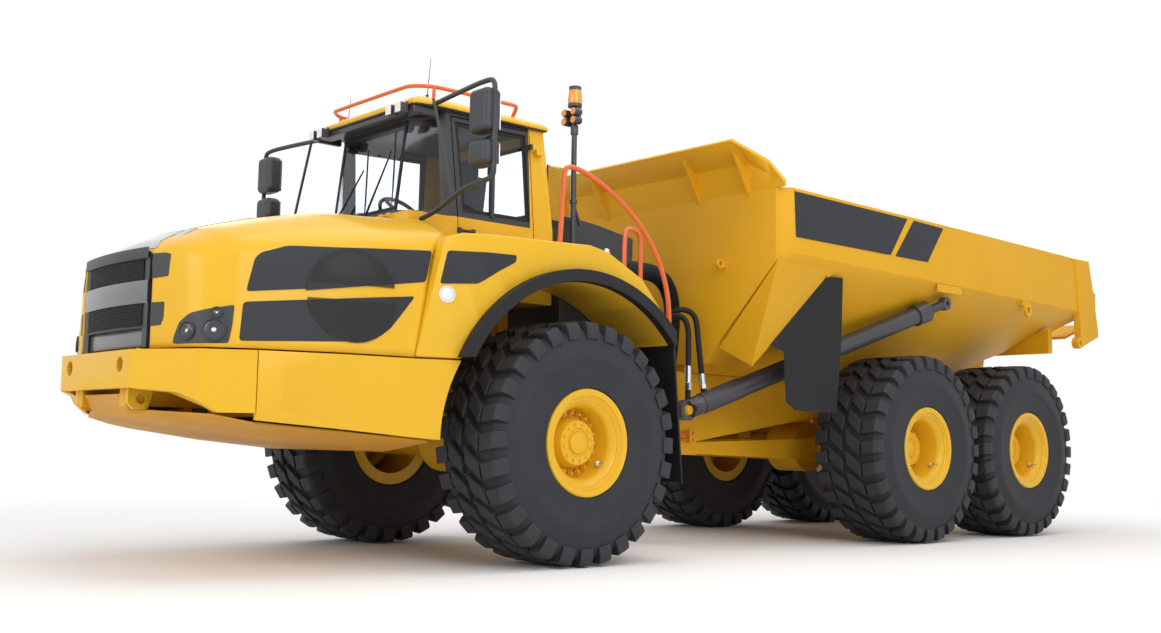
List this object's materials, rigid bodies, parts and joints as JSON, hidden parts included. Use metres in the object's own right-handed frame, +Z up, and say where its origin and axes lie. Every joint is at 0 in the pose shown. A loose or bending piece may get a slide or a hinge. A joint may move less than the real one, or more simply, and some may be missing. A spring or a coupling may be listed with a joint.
{
  "type": "articulated dump truck",
  "caption": "Articulated six-wheel-drive dump truck: cab unit and load unit joined by a steering and rolling joint, with a tipping bed.",
  "frame": {"origin": "on the ground under the middle of the truck", "axes": "+X forward, +Y to the left, +Z up"},
  "size_m": [11.264, 3.436, 3.98],
  "materials": {
    "amber_lens": "amber lens",
    "chrome": "bright metal",
    "dark_paint": "satin dark grey paint",
    "dark_plastic": "moulded charcoal plastic",
    "glass": "clear cab glass",
    "lamp_lens": "clear lamp lens",
    "orange_paint": "satin orange paint",
    "rubber": "matt black rubber",
    "tyre": "matt black rubber with dust",
    "yellow_paint": "satin yellow machine paint"
  },
  "bodies": {
    "tractor": {"front_frame": "yellow_paint", "front_axle": "yellow_paint", "engine_and_gearbox": "dark_paint", "bumper": "yellow_paint", "side_tanks": "yellow_paint", "belly_pan": "yellow_paint", "fenders": "yellow_paint", "arch_trims": "rubber", "deck_module": "dark_plastic", "cab_shell": "yellow_paint", "cab_glass": "glass", "cab_roof": "yellow_paint", "cab_interior": "dark_plastic", "roof_lamps": "dark_plastic", "mirrors": "dark_plastic", "beacon_mast": "dark_plastic", "handrails": "orange_paint", "steering_barrels": "dark_paint", "mesh_guard": "dark_plastic", "link_hoses": "dark_plastic"},
    "door": {"door_frame": "yellow_paint", "door_glass": "glass"},
    "hood": {"hood": "yellow_paint", "hood_plates": "dark_plastic", "head_lamps": "lamp_lens"},
    "grille_hatch": {"grille_hatch": "dark_plastic"},
    "hitch": {"hitch": "yellow_paint"},
    "rear_frame": {"rear_frame": "yellow_paint", "bogie_beams": "yellow_paint", "mid_axle": "yellow_paint", "rear_axle": "yellow_paint", "frame_hoses": "dark_plastic"},
    "dump_bed": {"bed_tub": "yellow_paint", "bed_guard": "yellow_paint", "bed_wings": "yellow_paint", "stone_flaps": "rubber", "bed_plates": "dark_plastic"},
    "hoist_barrel_left": {"hoist_barrel_left": "dark_paint"},
    "hoist_rod_left": {"hoist_rod_left": "dark_paint"},
    "steering_rod_left": {"steering_rod_left": "dark_paint"},
    "wheel_front_left": {"tyre_front_left": "tyre", "rim_front_left": "yellow_paint"},
    "wheel_mid_left": {"tyre_mid_left": "tyre", "rim_mid_left": "yellow_paint"},
    "wheel_rear_left": {"tyre_rear_left": "tyre", "rim_rear_left": "yellow_paint"},
    "hoist_barrel_right": {"hoist_barrel_right": "dark_paint"},
    "hoist_rod_right": {"hoist_rod_right": "dark_paint"},
    "steering_rod_right": {"steering_rod_right": "dark_paint"},
    "wheel_front_right": {"tyre_front_right": "tyre", "rim_front_right": "yellow_paint"},
    "wheel_mid_right": {"tyre_mid_right": "tyre", "rim_mid_right": "yellow_paint"},
    "wheel_rear_right": {"tyre_rear_right": "tyre", "rim_rear_right": "yellow_paint"}
  },
  "joints": [
    {"name": "steering", "type": "hinge", "parent": "tractor", "child": "hitch", "pos_m": [1.254, 0, 1.06], "axis": [0, 0, 1], "range_deg": [-45, 45], "deforming": ["link_hoses"]},
    {"name": "frame_roll", "type": "hinge", "parent": "hitch", "child": "rear_frame", "pos_m": [1.254, 0, 1.06], "axis": [1, 0, 0], "range_deg": [-15, 15], "deforming": ["link_hoses"]},
    {"name": "bed_tip", "type": "hinge", "parent": "rear_frame", "child": "dump_bed", "pos_m": [-4.7, 0, 1.5], "axis": [0, -1, 0], "range_deg": [0, 70]},
    {"name": "hood_lift", "type": "hinge", "parent": "tractor", "child": "hood", "pos_m": [3.64, 0, 2.645], "axis": [0, -1, 0], "range_deg": [0, 90]},
    {"name": "grille_drop", "type": "hinge", "parent": "tractor", "child": "grille_hatch", "pos_m": [5.5, 0, 1.508], "axis": [0, 1, 0], "range_deg": [0, 90]},
    {"name": "door_swing", "type": "hinge", "parent": "tractor", "child": "door", "pos_m": [2.38, 0.812, 2.9], "axis": [0, 0, 1], "range_deg": [0, 60]},
    {"name": "hoist_swing_left", "type": "hinge", "parent": "rear_frame", "child": "hoist_barrel_left", "pos_m": [0.533, 0.76, 1.236], "axis": [0.4367, 0.615, 0.6566], "range_deg": [0, 8.86], "deforming": ["frame_hoses"]},
    {"name": "hoist_stroke_left", "type": "slide", "parent": "hoist_barrel_left", "child": "hoist_rod_left", "axis": [-0.8982, 0.2572, 0.3565], "range_m": [0, 2.7502]},
    {"name": "steering_stroke_left", "type": "slide", "parent": "tractor", "child": "steering_rod_left", "axis": [-0.9951, -0.0987, 0], "range_m": [-0.341, 0.341]},
    {"name": "wheel_front_left_roll", "type": "hinge", "parent": "tractor", "child": "wheel_front_left", "pos_m": [2.531, 1.318, 0.925], "axis": [0, 1, 0], "continuous": true},
    {"name": "wheel_mid_left_roll", "type": "hinge", "parent": "rear_frame", "child": "wheel_mid_left", "pos_m": [-1.987, 1.318, 0.925], "axis": [0, 1, 0], "continuous": true},
    {"name": "wheel_rear_left_roll", "type": "hinge", "parent": "rear_frame", "child": "wheel_rear_left", "pos_m": [-3.927, 1.318, 0.925], "axis": [0, 1, 0], "continuous": true},
    {"name": "hoist_swing_right", "type": "hinge", "parent": "rear_frame", "child": "hoist_barrel_right", "pos_m": [0.533, -0.76, 1.236], "axis": [-0.4367, 0.615, -0.6566], "range_deg": [0, 8.86], "deforming": ["frame_hoses"]},
    {"name": "hoist_stroke_right", "type": "slide", "parent": "hoist_barrel_right", "child": "hoist_rod_right", "axis": [-0.8982, -0.2572, 0.3565], "range_m": [0, 2.7502]},
    {"name": "steering_stroke_right", "type": "slide", "parent": "tractor", "child": "steering_rod_right", "axis": [-0.9951, 0.0987, 0], "range_m": [-0.341, 0.341]},
    {"name": "wheel_front_right_roll", "type": "hinge", "parent": "tractor", "child": "wheel_front_right", "pos_m": [2.531, -1.318, 0.925], "axis": [0, 1, 0], "continuous": true},
    {"name": "wheel_mid_right_roll", "type": "hinge", "parent": "rear_frame", "child": "wheel_mid_right", "pos_m": [-1.987, -1.318, 0.925], "axis": [0, 1, 0], "continuous": true},
    {"name": "wheel_rear_right_roll", "type": "hinge", "parent": "rear_frame", "child": "wheel_rear_right", "pos_m": [-3.927, -1.318, 0.925], "axis": [0, 1, 0], "continuous": true}
  ],
  "couplings": [
    {"joint": "hoist_swing_left", "follows": "bed_tip", "ratio": 0.12627},
    {"joint": "hoist_stroke_left", "follows": "bed_tip", "m_per_rad": 2.2507},
    {"joint": "steering_stroke_left", "follows": "steering", "m_per_rad": 0.43357},
    {"joint": "hoist_swing_right", "follows": "bed_tip", "ratio": 0.12627},
    {"joint": "hoist_stroke_right", "follows": "bed_tip", "m_per_rad": 2.2507},
    {"joint": "steering_stroke_right", "follows": "steering", "m_per_rad": -0.43357}
  ]
}
